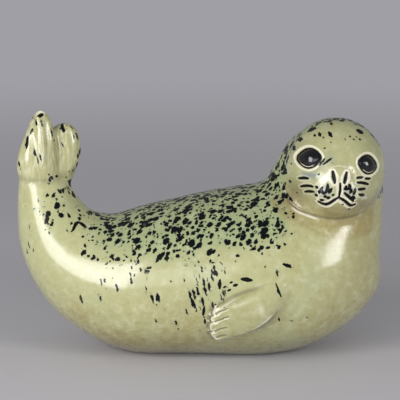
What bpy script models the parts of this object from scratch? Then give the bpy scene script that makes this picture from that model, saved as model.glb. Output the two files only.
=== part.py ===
"""A seal of glazed stoneware, slip-cast in one piece, lying on its belly with its tail raised.

The skin is a trunk, a neck, a head, two front flippers and two hind flippers, made one by one and then fused
like soft clay. The lines of the face and of the toes, and the crease under the chin, are incised in it. The
cast is hollow: one wall thickness follows the trunk, the neck and the head, and a pour hole opens it in the
flat foot. The flippers are solid. Metres, +Z up, +X from the tail to the chest, and the face looks along -Y.
The origin is the middle of the figure's box, on the surface that it stands on.
"""

import math
from collections import namedtuple

import bmesh
import bpy
from mathutils import Matrix, Vector
from mathutils.bvhtree import BVHTree

MM = 0.001

# The figure's length, depth and height
LENGTH = 229.2 * MM
DEPTH = 118.5 * MM
HEIGHT = 154.7 * MM
# Its sections are drawn in millimetres on a figure of this length, depth and height, and stretched to the
# sizes above. The wall, the tools and the pour hole keep their own sizes.
DRAWN_SIZE = (229.2, 118.5, 154.7)
STRETCH = [size / drawn for size, drawn in zip((LENGTH, DEPTH, HEIGHT), DRAWN_SIZE)]

# A section of a loft as drawn: its centre, half its size along the loft's side direction, and half its size
# across that
Section = namedtuple("Section", "x y z half_side half_across")

# The trunk, from the wrist of the tail to the front of the chest. Its side direction is Y.
TRUNK_SECTIONS = (
    Section(-98.5, 0, 120, 5, 6),
    Section(-98.5, 0, 115, 12, 14),
    Section(-98.5, 0, 105, 15.5, 17),
    Section(-94, 0, 86.5, 21.8, 22.6),
    Section(-86, 0, 69.8, 29.6, 29.2),
    Section(-68.5, 0, 54.2, 38.8, 38.2),
    Section(-42, 0, 46, 48.5, 46.6),
    Section(-16, 0, 47.2, 52, 48.8),
    Section(10, 0, 49.8, 54, 52.2),
    Section(38, 0, 52, 54.5, 54.4),
    Section(65, 0, 55.5, 51, 51.8),
    Section(87, 0, 58, 42, 42),
    Section(103, 0, 61, 28, 27),
    Section(110, 0, 64, 10, 10),
)
# The neck, from inside the chest to inside the head. Its side direction is Y.
NECK_SECTIONS = (
    Section(62, 0, 36, 42, 43),
    Section(66, 0, 58, 47.5, 47),
    Section(71.5, 0, 76, 44, 43.8),
    Section(76, -1, 92, 36, 39.8),
    Section(78.5, -3, 106, 30, 36.8),
    Section(80.5, -6, 118, 27, 34),
    Section(81, -10, 130, 23, 29.5),
    Section(82, -14, 140, 14, 18),
)

# The hind flippers stand side by side on the tail's wrist, palm to palm. The centres of their sections are
# measured from the wrist. Their side direction is X.
WRIST = Vector((-98.5, 0, 117))
NEAR_HIND_SECTIONS = (
    Section(-1, -4, -14, 12, 8),
    Section(-3, -5, 0, 12.8, 8.5),
    Section(-2.4, -5.5, 9, 12.2, 7.8),
    Section(-0.6, -5.5, 21, 9.4, 6.4),
    Section(0, -5, 31, 6.4, 4.8),
    Section(0, -5, 36.5, 3, 2.4),
    Section(0, -5, 37.8, 1, 1),
)
FAR_HIND_SECTIONS = (
    Section(4, 2, -14, 10, 8),
    Section(9, 3, -2, 11, 8),
    Section(12.5, 4, 9, 11.5, 7.5),
    Section(13, 4, 18, 10.5, 6.8),
    Section(12.5, 4, 24.5, 7.5, 5.4),
    Section(12, 4, 27.5, 2.5, 2.2),
)

# A front flipper lies on the flank. Its sections give X, how far its middle stands off the flank, and Z. They
# are upright, so the toes end on an upright line.
FRONT_SECTIONS = (
    Section(61, -6, 60, 7, 4),
    Section(48, -2, 47.5, 12, 5),
    Section(36, 0.5, 40, 13.6, 5),
    Section(24, 2, 35, 13.4, 4),
    Section(13, 2.4, 31, 13.6, 3),
    Section(9.8, 2, 30, 12, 2.2),
)

# The head is a ball that looks along -Y, turned a little to the chest's side and leaning over. Its place is
# drawn as the sections are. Its soft forms are balls too, drawn in millimetres on a head of the drawn radius.
# They are seen from the front of the face, with X across it and Z up.
HEAD_RADIUS = 31.2 * MM
DRAWN_HEAD = 31.2
ON_HEAD = HEAD_RADIUS / DRAWN_HEAD
HEAD_PLACE = (83, -16, 119.5)
HEAD_TURN = math.radians(2)
HEAD_LEAN = math.radians(5)
SKULL_RADII = Vector((31.2, 31.2, 31.9)) * ON_HEAD
MUZZLE_PLACE = Vector((0, -18.5, -5)) * ON_HEAD
MUZZLE_RADII = Vector((17, 14.5, 14)) * ON_HEAD
PAD_PLACE = Vector((7, -26, -10)) * ON_HEAD
PAD_RADII = Vector((9, 8.5, 8.5)) * ON_HEAD
NOSE_PLACE = Vector((0, -27.5, 1)) * ON_HEAD
NOSE_RADII = Vector((7, 7.5, 7)) * ON_HEAD
CHIN_PLACE = Vector((0, -20, -18)) * ON_HEAD
CHIN_RADII = Vector((12, 10, 9)) * ON_HEAD

# An eye is a ball set in the face inside a soft rim, and a ring is incised round it. The ring is an ellipse
# drawn out at its corners. It slopes down towards the side of the head, and its top leans towards the nose.
# The face was made by hand, so its sides differ. Places on it are drawn across it and up it, as its soft
# forms are.
Eye = namedtuple("Eye", "sign across up half_along half_over")
EYES = (Eye(-1, 19.2, 9, 7.7, 6.1), Eye(1, 16.2, 8.7, 6.3, 6.5))
EYE_SLOPE = math.radians(14)
EYE_SKEW = 0.24
EYE_CORNERS = 0.3
EYE_RADIUS = 7 * MM
EYE_BULGE = 1.7 * MM
RIM_GAP = 1.2 * MM
RIM_RADIUS = 1.3 * MM

# What is incised in the face, as points that the tool passes through, drawn as the eyes are
NOSTRILS = (((-5.3, 3.4), (-4.5, 0), (-3.7, -2.8)), ((3, 3.6), (2.6, 0), (2.2, -2.4)))
PHILTRUM = ((-0.4, -2.8), (0.1, -7), (-0.2, -11.6))
MOUTH = (
    ((-0.2, -11.6), (-3.2, -14), (-6.2, -16.6), (-9, -16.9), (-11.6, -16)),
    ((-0.2, -11.6), (3.6, -13.6), (7.6, -16.4), (10.4, -15.6)),
)
WHISKERS = (
    ((-23.7, -4.5), (-18.8, -3.1)),
    ((-22.1, -9.3), (-15.8, -7.3)),
    ((-19.4, -12.1), (-15.1, -10.4)),
    ((9.9, 0.7), (13.3, 0.9)),
    ((15.4, 0.2), (18.2, 0)),
    ((10.4, -2), (17.6, -3.6)),
    ((11.4, -6), (15.8, -6.2)),
    ((12, -9), (15.6, -10.2)),
)
PITS = (
    ((-14, -6.9), (-13.4, -7.2)),
    ((-7.6, -4.4), (-7.8, -8)),
    ((-5.2, -6.6), (-6, -8.6)),
    ((-10.6, -7.4), (-10.4, -10.2)),
    ((-13.8, -11.6), (-13.2, -12.2)),
    ((-7, -12.4), (-6.2, -12.2)),
    ((-4, -10.4), (-3.6, -10.2)),
    ((-10.2, -14.4), (-9.4, -14.2)),
    ((3.4, -5.8), (4.6, -6)),
    ((5.4, -3.2), (5.8, -5)),
    ((9.8, -5.8), (8.8, -8.6)),
    ((7.2, -6.2), (6.6, -8)),
    ((3.2, -9.2), (8.6, -13.2)),
)
# The crease where the head was set on the chest, cut round under the chin
CHIN_CREASE = (
    (-29.6, -15.4),
    (-26.8, -20.4),
    (-22.4, -23.8),
    (-16.4, -25.8),
    (-8.2, -27.4),
    (1, -27.6),
    (10.2, -26.2),
    (19, -23.4),
)
NOSTRIL_TOOL = 1.15 * MM
MOUTH_TOOL = 0.95 * MM
FINE_TOOL = 0.75 * MM
CREASE_TOOL = 1 * MM
# The toes are parted by lines from the flipper's end, each given by its height there and at its other end
TOE_LINES = ((37.5, 41.5), (32.5, 36), (26, 29), (19, 22.5))
TOE_LENGTH = 7
WALL = 5 * MM
POUR_HOLE_RADIUS = 7 * MM
POUR_HOLE_X = 2 * MM

# How finely the forms are made and fused
RING_POINTS = 48
STEPS_BETWEEN = 5
LINE_STEPS = 3
TOE_STEPS = 3
EYE_RING_POINTS = 28
TAPER = 0.5
POUR_HOLE_SIDES = 32
TRUNK_VOXEL = 2 * MM
TRUNK_PASSES = 40
BODY_VOXEL = 1.6 * MM
BODY_PASSES = 30
SKIN_VOXEL = 1.2 * MM
SKIN_PASSES = 8
SKIN_TRIANGLES = 6000
CORE_VOXEL = 3 * MM
CORE_PASSES = 8
CORE_TRIANGLES = 1000


def stretched(drawn):
    """A place or a reach of the drawn figure at the figure's real size."""
    return Vector([d * s for d, s in zip(drawn, STRETCH)])


def as_drawn(place):
    """Where a place of the figure is on the drawing."""
    return Vector([p / s for p, s in zip(place, STRETCH)])


def link(mesh, name):
    """A new object in the scene."""
    made = bpy.data.objects.new(name, mesh)
    bpy.context.scene.collection.objects.link(made)
    return made


def baked(source):
    """The object as its modifiers leave it, as a new object under the same name. The old one is removed."""
    bpy.context.view_layer.update()
    graph = bpy.context.evaluated_depsgraph_get()
    mesh = bpy.data.meshes.new_from_object(source.evaluated_get(graph))
    mesh.transform(source.matrix_world)
    name = source.name
    bpy.data.objects.remove(source)
    return link(mesh, name)


def between(before, start, end, after, t):
    """The section at t from start to end, on a smooth curve through the four sections."""
    return Section(*(
        0.5 * (2 * b + (c - a) * t + (2 * a - 5 * b + 4 * c - d) * t ** 2 + (3 * b - a - 3 * c + d) * t ** 3)
        for a, b, c, d in zip(before, start, end, after)
    ))


def filled_in(sections, steps=STEPS_BETWEEN):
    """The sections with so many smooth steps from each to the next."""
    ends = [sections[0], *sections, sections[-1]]
    dense = [between(*ends[i:i + 4], step / steps) for i in range(len(sections) - 1) for step in range(steps)]
    return [*dense, sections[-1]]


def drawn_in(reach, inset):
    """The reach from a section's centre, made shorter by the inset."""
    return reach.normalized() * (reach.length - inset)


def loft(name, sections, sides, fronts=None, inset=0.0):
    """A closed form through elliptical sections.

    The side direction is one for the whole form, with each section square to the line through their centres,
    or a list with one for each section, with a list of the directions across them.
    """
    if fronts is None:
        sides = [sides] * len(sections)
    dense = filled_in(sections)
    bm = bmesh.new()
    rings = []
    for i, s in enumerate(dense):
        before = dense[max(i - 1, 0)]
        after = dense[min(i + 1, len(dense) - 1)]
        along = (Vector(after[:3]) - Vector(before[:3])).normalized()
        index, step = divmod(i, STEPS_BETWEEN)
        following = min(index + 1, len(sides) - 1)
        side = sides[index].lerp(sides[following], step / STEPS_BETWEEN)
        if fronts is None:
            side -= along * side.dot(along)
            across = along.cross(side)
        else:
            across = fronts[index].lerp(fronts[following], step / STEPS_BETWEEN)
        width = drawn_in(stretched(side.normalized() * s.half_side), inset)
        height = drawn_in(stretched(across.normalized() * s.half_across), inset)
        centre = stretched(s[:3])
        turns = [2 * math.pi * k / RING_POINTS for k in range(RING_POINTS)]
        rings.append([bm.verts.new(centre + width * math.cos(t) + height * math.sin(t)) for t in turns])
    for ring, following in zip(rings, rings[1:]):
        for k in range(RING_POINTS):
            m = (k + 1) % RING_POINTS
            bm.faces.new((ring[k], ring[m], following[m], following[k]))
    bm.faces.new(rings[0][::-1])
    bm.faces.new(rings[-1])
    bmesh.ops.recalc_face_normals(bm, faces=bm.faces)
    mesh = bpy.data.meshes.new(name)
    bm.to_mesh(mesh)
    bm.free()
    return link(mesh, name)


def head_matrix():
    turned = Matrix.Rotation(HEAD_TURN, 4, "Z") @ Matrix.Rotation(HEAD_LEAN, 4, "Y")
    return Matrix.Translation(stretched(HEAD_PLACE)) @ turned


def ball(name, place, radii, inset=0.0):
    """A ball of the head, given in the head's own frame."""
    bpy.ops.mesh.primitive_uv_sphere_add(segments=48, ring_count=32, radius=1)
    made = bpy.context.object
    made.name = name
    scale = Matrix.Diagonal((*(r - inset for r in radii), 1))
    made.data.transform(head_matrix() @ Matrix.Translation(place) @ scale)
    return made


def box(name, low, high):
    bpy.ops.mesh.primitive_cube_add(size=1)
    made = bpy.context.object
    made.name = name
    size = Vector(high) - Vector(low)
    made.data.transform(Matrix.Translation((Vector(low) + Vector(high)) / 2) @ Matrix.Diagonal((*size, 1)))
    return made


def fused(name, pieces, voxel, passes):
    """The pieces as one closed skin, remeshed together and then smoothed as wet clay is."""
    bm = bmesh.new()
    for piece in pieces:
        bm.from_mesh(piece.data)
        bpy.data.objects.remove(piece)
    mesh = bpy.data.meshes.new(name)
    bm.to_mesh(mesh)
    bm.free()
    made = link(mesh, name)
    remesh = made.modifiers.new("remesh", "REMESH")
    remesh.mode = "VOXEL"
    remesh.voxel_size = voxel
    smooth = made.modifiers.new("smooth", "SMOOTH")
    smooth.factor = 0.5
    smooth.iterations = passes
    return baked(made)


def thinned(source, triangles):
    """The form with about so many triangles."""
    thin = source.modifiers.new("thin", "DECIMATE")
    thin.ratio = triangles / (2 * len(source.data.polygons))
    return baked(source)


def cut(target, cutter):
    """The target without what the cutter takes out of it."""
    boolean = target.modifiers.new("cut", "BOOLEAN")
    boolean.operation = "DIFFERENCE"
    boolean.object = cutter
    made = baked(target)
    bpy.data.objects.remove(cutter)
    return made


def skin_tree(skin):
    """The skin as something that a line can be dropped on."""
    return BVHTree.FromObject(skin, bpy.context.evaluated_depsgraph_get())


def on_flank(tree, x, z, sign):
    """The place and normal of the flank at a drawn X and Z, on the near side for sign -1 or the far for 1."""
    start = stretched((x, 0, z)) + Vector((0, sign, 0))
    place, normal, _, _ = tree.ray_cast(start, Vector((0, -sign, 0)))
    return place, normal


def on_face(tree, across, up):
    """The place and the normal of the face at a point seen from its front."""
    placed = head_matrix()
    start = placed @ Vector((across, -0.1, up))
    place, normal, _, _ = tree.ray_cast(start, placed.to_3x3() @ Vector((0, 1, 0)))
    return place, normal


def front_flipper(name, tree, sign):
    """A paddle lying on the flank, on the near side for sign -1 and on the far side for 1."""
    seated = []
    normals = []
    for s in FRONT_SECTIONS:
        place, normal = on_flank(tree, s.x, s.z, sign)
        seated.append(Section(*as_drawn(place + normal * s.y * MM), s.half_side, s.half_across))
        normals.append(normal)
    sides = [(Vector((0, 0, 1)) - n * n.z).normalized() for n in normals]
    return loft(name, seated, sides, normals)


def hind_flipper(name, sections):
    placed = [s._replace(x=s.x + WRIST.x, y=s.y + WRIST.y, z=s.z + WRIST.z) for s in sections]
    return loft(name, placed, Vector((1, 0, 0)))


def make_body(inset=0.0):
    """The trunk and the neck fused, and the skull, or what is left of them inside a wall of the inset."""
    trunk = loft("trunk", TRUNK_SECTIONS, Vector((0, 1, 0)), inset=inset)
    neck = loft("neck", NECK_SECTIONS, Vector((0, 1, 0)), inset=inset)
    body = fused("body", [trunk, neck], TRUNK_VOXEL, TRUNK_PASSES)
    return [body, ball("skull", Vector(), SKULL_RADII, inset)]


def make_face():
    pads = [ball("pad", PAD_PLACE * Vector((sign, 1, 1)), PAD_RADII) for sign in (-1, 1)]
    muzzle = ball("muzzle", MUZZLE_PLACE, MUZZLE_RADII)
    return [muzzle, ball("nose", NOSE_PLACE, NOSE_RADII), ball("chin", CHIN_PLACE, CHIN_RADII), *pads]


def tube(name, places, radius, closed=False):
    """A round bar along the places, tapered at its ends unless it is closed."""
    curve = bpy.data.curves.new(name, "CURVE")
    curve.dimensions = "3D"
    curve.bevel_depth = radius
    curve.bevel_resolution = 1
    curve.use_fill_caps = True
    spline = curve.splines.new("POLY")
    spline.points.add(len(places) - 1)
    for point, place in zip(spline.points, places):
        point.co = (*place, 1)
    spline.use_cyclic_u = closed
    if not closed:
        spline.points[0].radius = TAPER
        spline.points[-1].radius = TAPER
    made = baked(link(curve, name))
    bm = bmesh.new()
    bm.from_mesh(made.data)
    bmesh.ops.remove_doubles(bm, verts=bm.verts, dist=0.00001)
    bmesh.ops.recalc_face_normals(bm, faces=bm.faces)
    bm.to_mesh(made.data)
    bm.free()
    return made


def eye_ring(tree, eye, gap=0.0):
    """The places round an eye, so far outside its ring."""
    places = []
    for k in range(EYE_RING_POINTS):
        turn = 2 * math.pi * k / EYE_RING_POINTS
        over = (eye.half_over * ON_HEAD + gap) * math.sin(turn) * (1 - EYE_CORNERS * math.cos(turn) ** 2)
        along = (eye.half_along * ON_HEAD + gap) * math.cos(turn) - EYE_SKEW * over
        outwards = along * math.cos(EYE_SLOPE) + over * math.sin(EYE_SLOPE)
        up = over * math.cos(EYE_SLOPE) - along * math.sin(EYE_SLOPE)
        places.append(on_face(tree, eye.sign * (eye.across * ON_HEAD + outwards), eye.up * ON_HEAD + up)[0])
    return places


def make_eye(tree, eye):
    place, normal = on_face(tree, eye.sign * eye.across * ON_HEAD, eye.up * ON_HEAD)
    bpy.ops.mesh.primitive_uv_sphere_add(segments=32, ring_count=20, radius=EYE_RADIUS)
    dome = bpy.context.object
    dome.location = place - normal * (EYE_RADIUS - EYE_BULGE)
    return [baked(dome), tube("rim", eye_ring(tree, eye, RIM_GAP), RIM_RADIUS, closed=True)]


def make_skin():
    body = fused("body", [*make_body(), *make_face()], BODY_VOXEL, BODY_PASSES)
    tree = skin_tree(body)
    added = [
        front_flipper("front_near", tree, -1),
        front_flipper("front_far", tree, 1),
        hind_flipper("hind_near", NEAR_HIND_SECTIONS),
        hind_flipper("hind_far", FAR_HIND_SECTIONS),
    ]
    for eye in EYES:
        added += make_eye(tree, eye)
    skin = thinned(fused("seal", [body, *added], SKIN_VOXEL, SKIN_PASSES), SKIN_TRIANGLES)
    return cut(skin, box("floor_cutter", (-1, -1, -1), (1, 1, 0)))


def face_line(tree, points, radius):
    """A bar to incise, through points seen from the front of the face."""
    steps = filled_in([Section(x, 0, z, 0, 0) for x, z in points], LINE_STEPS)
    return tube("line", [on_face(tree, s.x * ON_HEAD, s.z * ON_HEAD)[0] for s in steps], radius)


def toe_line(tree, heights, sign):
    """A bar to incise, from off the end of a front flipper to between its toes."""
    edge = FRONT_SECTIONS[-1].x + 1
    start, end = heights
    shares = [step / TOE_STEPS for step in range(TOE_STEPS + 1)]
    places = [on_flank(tree, edge + TOE_LENGTH * t, start + (end - start) * t, sign)[0] for t in shares]
    off = places[0] * 2 - places[1] + Vector((0, sign, 0)) * 2 * FINE_TOOL
    return tube("toe_line", [off, *places], FINE_TOOL)


def incise(skin):
    tree = skin_tree(skin)
    bars = [face_line(tree, points, NOSTRIL_TOOL) for points in NOSTRILS]
    bars += [face_line(tree, points, MOUTH_TOOL) for points in MOUTH]
    bars += [face_line(tree, points, FINE_TOOL) for points in (PHILTRUM, *WHISKERS, *PITS)]
    bars.append(face_line(tree, CHIN_CREASE, CREASE_TOOL))
    bars += [tube("ring", eye_ring(tree, eye), FINE_TOOL, closed=True) for eye in EYES]
    bars += [toe_line(tree, heights, sign) for heights in TOE_LINES for sign in (-1, 1)]
    for bar in bars:
        skin = cut(skin, bar)
    return skin


def hollow(skin):
    """The skin without its core, and with a pour hole through the foot."""
    core = thinned(fused("core", make_body(WALL), CORE_VOXEL, CORE_PASSES), CORE_TRIANGLES)
    core = cut(core, box("foot_cutter", (-1, -1, -1), (1, 1, WALL)))
    skin = cut(skin, core)
    bpy.ops.mesh.primitive_cylinder_add(vertices=POUR_HOLE_SIDES, radius=POUR_HOLE_RADIUS, depth=4 * WALL)
    hole = bpy.context.object
    hole.location.x = POUR_HOLE_X
    return cut(skin, baked(hole))


def centred(made):
    """The object moved so that its box is centred over the origin and stands on it."""
    xs, ys, zs = zip(*(v.co for v in made.data.vertices))
    shift = Vector((-(min(xs) + max(xs)) / 2, -(min(ys) + max(ys)) / 2, -min(zs)))
    made.data.transform(Matrix.Translation(shift))
    return made


def glaze():
    """Pale grey-green celadon glaze over stoneware."""
    made = bpy.data.materials.new("celadon_glaze")
    made.use_nodes = True
    bsdf = made.node_tree.nodes["Principled BSDF"]
    bsdf.inputs["Base Color"].default_value = (0.5, 0.52, 0.33, 1)
    bsdf.inputs["Roughness"].default_value = 0.12
    bsdf.inputs["Metallic"].default_value = 0
    return made


def finish(made):
    """Gives the object its material, its shading and its collection."""
    made.data.materials.append(glaze())
    made.data.shade_smooth()
    made.data.set_sharp_from_angle(angle=math.radians(50))
    collection = bpy.data.collections.new("seal_figurine")
    bpy.context.scene.collection.children.link(collection)
    collection.objects.link(made)
    bpy.context.scene.collection.objects.unlink(made)


for old in list(bpy.data.objects):
    bpy.data.objects.remove(old)
seal = centred(hollow(incise(make_skin())))
finish(seal)
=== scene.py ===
# %% [markdown]
# # A glazed stoneware seal
#
# The real figure was cast in slip, cleaned up by hand while the clay was leather hard, and glazed in one
# go. Its eyes, nostrils, mouth and toes were cut in with a tool, dark pigment was rubbed in the cuts and
# dotted over its back, and one celadon glaze runs over everything. So it is one piece here too, made in the
# potter's order: the cast, then the cuts, then the glaze.

# %% Load the frame and keep the box of the solids
import math

import bmesh
import bpy
import numpy as np
from mathutils import Matrix, Vector


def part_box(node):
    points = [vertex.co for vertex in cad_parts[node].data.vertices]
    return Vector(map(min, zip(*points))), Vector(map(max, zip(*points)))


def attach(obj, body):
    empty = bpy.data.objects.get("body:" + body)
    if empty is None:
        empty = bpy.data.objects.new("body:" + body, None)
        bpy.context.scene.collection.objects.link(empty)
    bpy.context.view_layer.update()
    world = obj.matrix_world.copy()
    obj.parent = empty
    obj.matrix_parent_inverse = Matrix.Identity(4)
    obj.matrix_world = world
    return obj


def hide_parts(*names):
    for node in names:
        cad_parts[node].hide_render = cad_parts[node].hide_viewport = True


MM = 0.001
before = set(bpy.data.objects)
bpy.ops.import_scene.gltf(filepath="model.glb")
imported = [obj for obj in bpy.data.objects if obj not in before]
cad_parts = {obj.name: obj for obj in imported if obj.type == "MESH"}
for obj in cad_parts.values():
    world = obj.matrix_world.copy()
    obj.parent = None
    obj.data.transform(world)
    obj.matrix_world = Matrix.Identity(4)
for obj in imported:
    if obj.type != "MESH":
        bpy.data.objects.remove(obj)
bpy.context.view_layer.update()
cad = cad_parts["seal"]
LOW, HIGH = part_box("seal")
print("the solid's box in mm:", [round(v / MM, 1) for v in (*LOW, *HIGH)])

# %% [markdown]
# ## The camera
#
# The photograph looks at the flank from a little above the table, from far enough away that nothing is
# distorted. A long lens at 1.1 m does the same. The camera's aim and its lens follow from how many pixels
# the figure fills.

# %% The camera
ELEVATION = math.radians(12)
CAMERA_DISTANCE = 1.1
PIXELS = 400
PIXEL_SIZE = 0.627 * MM
AIM_HEIGHT = 96.1 * MM
camera_data = bpy.data.cameras.new("camera")
camera_data.lens = camera_data.sensor_width * CAMERA_DISTANCE / (PIXELS * PIXEL_SIZE)
camera = bpy.data.objects.new("camera", camera_data)
bpy.context.scene.collection.objects.link(camera)
back = Vector((0, -math.cos(ELEVATION), math.sin(ELEVATION)))
camera.location = Vector((0, 0, AIM_HEIGHT)) + back * CAMERA_DISTANCE
camera.rotation_euler = (-back).to_track_quat("-Z", "Y").to_euler()
bpy.context.scene.camera = camera
print("lens", round(camera_data.lens, 1), "mm")

# %% [markdown]
# ## The cast
#
# The solid in the frame already has the form of the cast, but it is made of loose triangles, coarse where
# the clay is smooth. Modelling the animal a second time would only bring differences. So a copy of the
# solid is merged, parted into its skin and its hollow, and the skin is remeshed finely and evenly, as
# something to carve in.

# %% Helpers for working as in the viewport
def only(obj):
    """Selects one object and makes it the active one."""
    bpy.ops.object.select_all(action="DESELECT")
    obj.select_set(True)
    bpy.context.view_layer.objects.active = obj


def finished(obj, kind, **settings):
    """Adds a modifier with these settings and applies it."""
    only(obj)
    modifier = obj.modifiers.new(kind.lower(), kind)
    for name, value in settings.items():
        setattr(modifier, name, value)
    bpy.ops.object.modifier_apply(modifier=modifier.name)


def edit(obj, mode="FACE"):
    """Opens edit mode with nothing selected and returns the mesh there."""
    only(obj)
    bpy.ops.object.mode_set(mode="EDIT")
    bpy.ops.mesh.select_mode(type=mode)
    bpy.ops.mesh.select_all(action="DESELECT")
    return bmesh.from_edit_mesh(obj.data)


def size_of(obj):
    return f"{len(obj.data.vertices)} points, {sum(len(f.vertices) - 2 for f in obj.data.polygons)} triangles"


# %% The copy of the solid, merged
skin = bpy.data.objects.new("glazed_seal", cad.data.copy())
bpy.context.scene.collection.objects.link(skin)
edit(skin)
bpy.ops.mesh.select_all(action="SELECT")
bpy.ops.mesh.remove_doubles(threshold=0.002 * MM)
bpy.ops.mesh.customdata_custom_splitnormals_clear()
bpy.ops.object.mode_set(mode="OBJECT")
print("merged copy:", size_of(skin))

# %% [markdown]
# The hollow is reached through the pour hole in the foot. Its faces are the ones that can be walked to from
# the middle of the hollow's floor without crossing the flat foot. They are separated, closed under the
# foot, and kept as a tool that cuts the same hollow in the fine skin.

# %% Part the hollow from the skin
FOOT_HEIGHT = 0.01 * MM
FLOOR_HEIGHT = 12 * MM
FACING_UP = 0.9
mesh = edit(skin)
mesh.faces.ensure_lookup_table()
upward = [f for f in mesh.faces if f.normal.z > FACING_UP and f.calc_center_median().z < FLOOR_HEIGHT]
start = min(upward, key=lambda f: f.calc_center_median().xy.length)
walked = {start}
waiting = [start]
while waiting:
    for e in waiting.pop().edges:
        for f in e.link_faces:
            if f not in walked and max(v.co.z for v in f.verts) > FOOT_HEIGHT:
                walked.add(f)
                waiting.append(f)
for f in walked:
    f.select = True
bmesh.update_edit_mesh(skin.data)
bpy.ops.mesh.separate(type="SELECTED")
bpy.ops.object.mode_set(mode="OBJECT")
hollow = next(o for o in bpy.context.selected_objects if o is not skin)
hollow.name = "hollow"
print("hollow:", size_of(hollow), "skin:", size_of(skin))

# %% Close both where the pour hole was
TOOL_DEPTH = 3 * MM
edit(hollow, "EDGE")
bpy.ops.mesh.select_non_manifold(extend=False)
bpy.ops.mesh.extrude_region_move(TRANSFORM_OT_translate={"value": (0, 0, -TOOL_DEPTH)})
bpy.ops.mesh.edge_face_add()
bpy.ops.mesh.select_all(action="SELECT")
bpy.ops.mesh.normals_make_consistent(inside=False)
bpy.ops.object.mode_set(mode="OBJECT")
edit(skin, "EDGE")
bpy.ops.mesh.select_non_manifold(extend=False)
bpy.ops.mesh.edge_face_add()
bpy.ops.object.mode_set(mode="OBJECT")
print("closed hollow:", size_of(hollow), "closed skin:", size_of(skin))

# %% [markdown]
# The real clay was sponged until no flat place was left on it. A voxel remesh turns the skin into even
# quads, which can be smoothed in the same way. Before it, two levels of subdivision take away the flat
# triangles, which a gloss glaze would show. After it, a light smoothing goes over everything and a stronger
# one over the trunk and the neck only, so that the face and the flippers keep their forms.

# %% An even, smooth skin
SKIN_VOXEL = 1.6 * MM
finished(skin, "SUBSURF", levels=2, render_levels=2)
finished(skin, "REMESH", mode="VOXEL", voxel_size=SKIN_VOXEL)
finished(skin, "SMOOTH", factor=0.5, iterations=2)
print("even skin:", size_of(skin))

# %% [markdown]
# The head is turned and leans a little. What is on it is easier to place in a frame that turns and leans
# with it, where one side of the face is minus and the other plus. A matrix holds the head's place and turn,
# and its inverse brings any point of the clay into that frame.

# %% The head's own frame: across the face, into it and up it
HEAD_PLACE = Vector((83.2, -16, 119.5)) * MM
HEAD_TURN = math.radians(2)
HEAD_LEAN = math.radians(5)
turned = Matrix.Rotation(HEAD_TURN, 4, "Z") @ Matrix.Rotation(HEAD_LEAN, 4, "Y")
head = Matrix.Translation(HEAD_PLACE) @ turned
print("the head's middle in mm:", [round(v / MM, 1) for v in HEAD_PLACE])


def points_of(obj):
    """The points and the normals of a mesh, in millimetres, as arrays."""
    count = len(obj.data.vertices)
    places = np.empty(count * 3)
    normals = np.empty(count * 3)
    obj.data.vertices.foreach_get("co", places)
    obj.data.vertices.foreach_get("normal", normals)
    return places.reshape(-1, 3) / MM, normals.reshape(-1, 3)


def seen_from_face(places):
    """Places given across, into and up the head, in millimetres from its middle."""
    inverse = np.array(head.inverted().to_3x3())
    return (places - np.array(HEAD_PLACE) / MM) @ inverse.T


def ramp(values, start, end):
    """A smooth step from 0 at the start to 1 at the end. It falls where the end is below the start."""
    t = np.clip((values - start) / (end - start), 0, 1)
    return t * t * (3 - 2 * t)


# %% Sponge the trunk and the neck
places, normals = points_of(skin)
on_head = seen_from_face(places)
x, y, z = places.T
near_front = ramp(x, -6, 4) * ramp(x, 76, 66) * ramp(z, 70, 60) * ramp(np.abs(y), 24, 32)
near_hind = ramp(x, -58, -70) * ramp(z, 102, 112)
near_face = ramp(on_head[:, 1], -6, -14) * ramp(on_head[:, 2], -36, -30)
sponged = 1 - np.maximum(np.maximum(near_front, near_hind), 0.55 * near_face)
group = skin.vertex_groups.new(name="sponged")
for index in np.flatnonzero(sponged > 0.02):
    group.add([int(index)], float(sponged[index]), "REPLACE")
finished(skin, "SMOOTH", factor=0.5, iterations=12, vertex_group="sponged")
skin.vertex_groups.clear()
print("sponged points:", int((sponged > 0.5).sum()))

# %% [markdown]
# ## Finer clay where it is carved
#
# The cuts in the face and between the toes are one to two millimetres wide, so those places get three times
# the points each way. Everything else stays as it is, because points that show nothing only cost memory.

# %% Cut the hollow, then refine the face and the toes
finished(skin, "BOOLEAN", operation="DIFFERENCE", object=hollow, solver="EXACT")
bpy.data.objects.remove(hollow)
print("hollow cast:", size_of(skin))


def refine(obj, chosen, cuts, smoothing):
    """Subdivides the faces that the function chooses by their middle, and smooths them."""
    mesh = edit(obj)
    mesh.faces.ensure_lookup_table()
    middles = np.array([f.calc_center_median() for f in mesh.faces]) / MM
    facing = np.array([f.normal for f in mesh.faces])
    for index in np.flatnonzero(chosen(middles, facing)):
        mesh.faces[int(index)].select = True
    bmesh.update_edit_mesh(obj.data)
    bpy.ops.mesh.subdivide(number_cuts=cuts, smoothness=0, ngon=False, quadcorner="INNERVERT")
    bpy.ops.mesh.vertices_smooth(factor=0.5, repeat=smoothing)
    bpy.ops.object.mode_set(mode="OBJECT")


def on_the_face(middles, facing):
    seen = seen_from_face(middles)
    in_reach = np.linalg.norm(seen, axis=1) < 46
    low = (seen[:, 2] > -31) & (seen[:, 2] < 31.5)
    return in_reach & low & (seen[:, 1] < -6) & (facing[:, 1] < 0.15)


def on_the_flippers(middles, facing):
    x, y, z = middles.T
    return (x > 1) & (x < 52) & (z > 14) & (z < 0.3 * x + 51) & (z > 0.7 * x - 4) & (np.abs(y) > 38)


refine(skin, lambda m, f: on_the_face(m, f) | on_the_flippers(m, f), 2, 6)
print("refined:", size_of(skin))

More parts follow.
